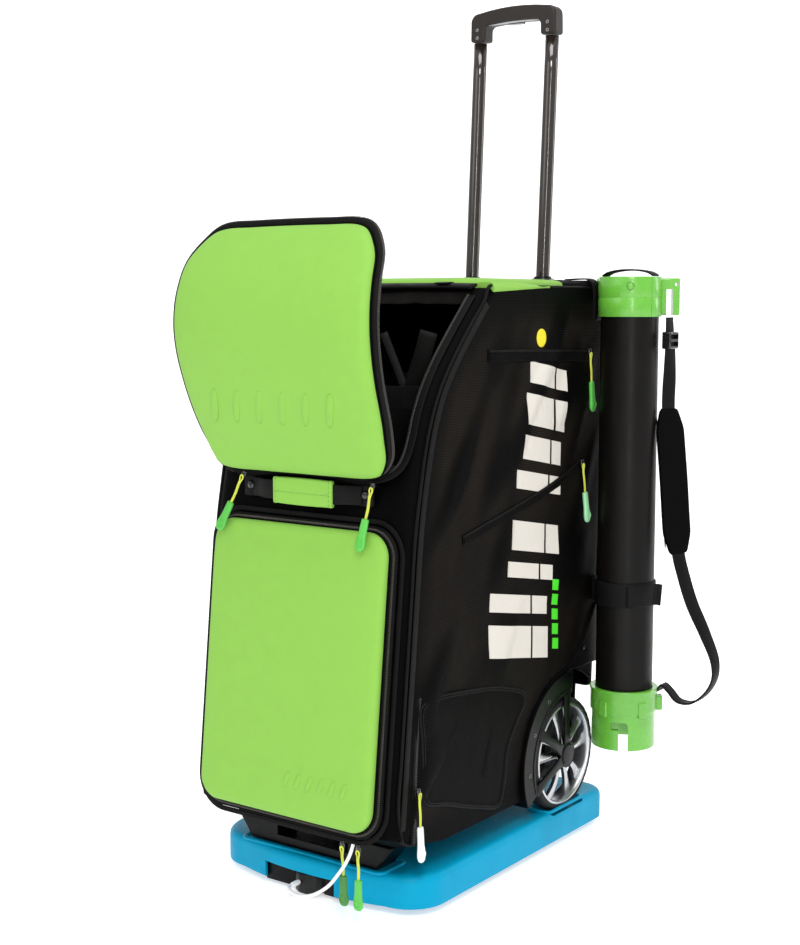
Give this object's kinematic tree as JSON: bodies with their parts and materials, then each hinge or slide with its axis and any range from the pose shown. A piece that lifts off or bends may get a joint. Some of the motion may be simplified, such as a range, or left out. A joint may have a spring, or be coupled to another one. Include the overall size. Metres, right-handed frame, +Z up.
{
  "type": "tennis ball machine",
  "caption": "Wheeled trolley bag with a ball hopper, feeder and tilting two-wheel launcher, standing on an oscillating turntable, with a ball tube on its side.",
  "frame": {"origin": "on the floor under the turntable's pivot axis", "axes": "+Z up; -Y is the bag's front, the side that balls leave by; +X is the side that carries the ball tube"},
  "size_m": [0.5447, 0.6195, 1.257],
  "materials": {
    "foam_green": "moulded foam panel covered in smooth stretch fabric",
    "bag_fabric": "black fine-grid woven nylon",
    "webbing": "black ribbed webbing",
    "lime_plastic": "moulded, glossy",
    "tray_blue": "moulded, satin gloss",
    "black_plastic": "moulded, fine texture",
    "tube_black": "extruded, satin",
    "tyre_rubber": "moulded rubber",
    "soft_rubber": "soft foamed rubber tread",
    "rim_silver": "cast, satin",
    "steel": "bright",
    "rod_black": "dark anodised, glossy",
    "lead_white": "smooth sheath",
    "pull_green": "soft moulded tab on a yellow cord",
    "pull_white": "soft moulded tab on a yellow cord"
  },
  "bodies": {
    "stand": {"stand_gear": "black_plastic", "thrust_bearing": "steel"},
    "drive_pinion": {"drive_pinion": "steel"},
    "wheel_right": {"wheel_rim_right": "rim_silver", "tyre_right": "tyre_rubber"},
    "wheel_left": {"wheel_rim_left": "rim_silver", "tyre_left": "tyre_rubber"},
    "handle": {"trolley_rod_right": "rod_black", "trolley_rod_left": "rod_black", "handle_grip": "black_plastic"},
    "grip_button": {"grip_button": "black_plastic"},
    "front_flap": {"front_flap": "foam_green"},
    "front_door": {"front_door": "foam_green"},
    "feed_disc": {"feed_disc": "lime_plastic"},
    "launcher": {"launcher_frame": "black_plastic", "launch_motor_upper": "steel", "launch_motor_lower": "steel"},
    "launch_wheel_upper": {"launch_wheel_upper": "soft_rubber"},
    "launch_wheel_lower": {"launch_wheel_lower": "soft_rubber"},
    "tilt_lock_knob": {"tilt_lock_knob": "lime_plastic"},
    "speed_knob": {"speed_knob": "lime_plastic"},
    "feed_knob": {"feed_knob": "lime_plastic"},
    "power_switch": {"power_switch": "black_plastic"},
    "flap_pull_right": {"flap_pull_right": "pull_green"},
    "flap_pull_left": {"flap_pull_left": "pull_green"},
    "side_pull_upper": {"side_pull_upper": "pull_green"},
    "side_pull_middle": {"side_pull_middle": "pull_green"},
    "side_pull_lower": {"side_pull_lower": "pull_white"},
    "turntable": {"turntable_tray": "tray_blue", "drive_housing": "black_plastic", "front_foot": "black_plastic", "bag_shell": "bag_fabric", "top_panel": "foam_green", "trolley_bezel": "black_plastic", "carry_strap": "webbing", "carry_grip": "foam_green", "trolley_tube_right": "steel", "trolley_tube_left": "steel", "wheel_housing_right": "black_plastic", "wheel_housing_left": "black_plastic", "wheel_axle": "steel", "ball_hopper": "black_plastic", "feed_motor": "steel", "feed_chute": "black_plastic", "chassis": "steel", "battery_pack": "black_plastic", "control_panel": "black_plastic", "ball_tube": "tube_black", "tube_top_collar": "lime_plastic", "tube_handle_strap": "webbing", "tube_bottom_collar": "lime_plastic", "tube_retaining_strap": "webbing", "tube_hanger": "black_plastic", "shoulder_strap": "webbing", "strap_buckle": "black_plastic", "shoulder_pad": "webbing", "door_pull_left": "pull_green", "door_pull_right": "pull_green", "power_lead": "lead_white", "lead_plug": "lead_white"}
  },
  "joints": [
    {"name": "turntable_swivel", "type": "hinge", "parent": "stand", "child": "turntable", "pos_m": [0, 0, 0.04], "axis": [0, 0, 1], "range_deg": [-12, 12]},
    {"name": "pinion_spin", "type": "hinge", "parent": "turntable", "child": "drive_pinion", "pos_m": [0, -0.2304, 0.01], "axis": [0, 0, 1], "range_deg": [-185, 185]},
    {"name": "wheel_right_spin", "type": "hinge", "parent": "turntable", "child": "wheel_right", "pos_m": [0.16, 0.151, 0.133], "axis": [1, 0, 0], "continuous": true},
    {"name": "wheel_left_spin", "type": "hinge", "parent": "turntable", "child": "wheel_left", "pos_m": [-0.16, 0.151, 0.133], "axis": [1, 0, 0], "continuous": true},
    {"name": "handle_slide", "type": "slide", "parent": "turntable", "child": "handle", "axis": [0, 0.0578, 0.9983], "range_m": [-0.36, 0]},
    {"name": "grip_button_press", "type": "slide", "parent": "handle", "child": "grip_button", "axis": [0, 0, 1], "range_m": [0, 0.005], "stiffness_N_per_m": 600, "springref_m": -0.001},
    {"name": "flap_hinge", "type": "hinge", "parent": "turntable", "child": "front_flap", "pos_m": [0, -0.251, 0.583], "axis": [1, 0, 0], "range_deg": [-38, 45]},
    {"name": "door_hinge", "type": "hinge", "parent": "turntable", "child": "front_door", "pos_m": [0, -0.2383, 0.519], "axis": [-1, 0, 0], "range_deg": [0, 84]},
    {"name": "flap_pull_right_swing", "type": "hinge", "parent": "turntable", "child": "flap_pull_right", "pos_m": [0.122, -0.256, 0.571], "axis": [-1, 0, 0], "range_deg": [0, 86]},
    {"name": "flap_pull_left_swing", "type": "hinge", "parent": "turntable", "child": "flap_pull_left", "pos_m": [-0.097, -0.256, 0.571], "axis": [-1, 0, 0], "range_deg": [0, 86]},
    {"name": "feed_disc_spin", "type": "hinge", "parent": "turntable", "child": "feed_disc", "pos_m": [0, 0, 0.52], "axis": [0, 0, 1], "continuous": true},
    {"name": "launcher_tilt", "type": "hinge", "parent": "turntable", "child": "launcher", "pos_m": [0, -0.095, 0.3], "axis": [-1, 0, 0], "range_deg": [-15, 30]},
    {"name": "launch_wheel_upper_spin", "type": "hinge", "parent": "launcher", "child": "launch_wheel_upper", "pos_m": [0, -0.07404, 0.37824], "axis": [1, 0, 0], "continuous": true},
    {"name": "launch_wheel_lower_spin", "type": "hinge", "parent": "launcher", "child": "launch_wheel_lower", "pos_m": [0, -0.11596, 0.22176], "axis": [1, 0, 0], "continuous": true},
    {"name": "tilt_lock_turn", "type": "hinge", "parent": "turntable", "child": "tilt_lock_knob", "pos_m": [0.13, -0.095, 0.3], "axis": [1, 0, 0], "range_deg": [0, 90]},
    {"name": "speed_knob_turn", "type": "hinge", "parent": "turntable", "child": "speed_knob", "pos_m": [-0.07, -0.218, 0.457], "axis": [0, 1, 0], "range_deg": [0, 270]},
    {"name": "feed_knob_turn", "type": "hinge", "parent": "turntable", "child": "feed_knob", "pos_m": [0, -0.218, 0.457], "axis": [0, 1, 0], "range_deg": [0, 270]},
    {"name": "power_switch_rock", "type": "hinge", "parent": "turntable", "child": "power_switch", "pos_m": [0.07, -0.213, 0.457], "axis": [1, 0, 0], "range_deg": [0, 12]},
    {"name": "side_pull_upper_slide", "type": "slide", "parent": "turntable", "child": "side_pull_upper", "axis": [0, -1, 0], "range_m": [0, 0.24]},
    {"name": "side_pull_middle_slide", "type": "slide", "parent": "turntable", "child": "side_pull_middle", "axis": [0, -0.9464, -0.3229], "range_m": [0, 0.085]},
    {"name": "side_pull_lower_slide", "type": "slide", "parent": "turntable", "child": "side_pull_lower", "axis": [0, 0.1, 0.995], "range_m": [0, 0.11]}
  ],
  "couplings": [
    {"joint": "pinion_spin", "follows": "turntable_swivel", "ratio": 15},
    {"joint": "flap_pull_right_swing", "follows": "door_hinge", "ratio": 1},
    {"joint": "flap_pull_left_swing", "follows": "door_hinge", "ratio": 1}
  ]
}
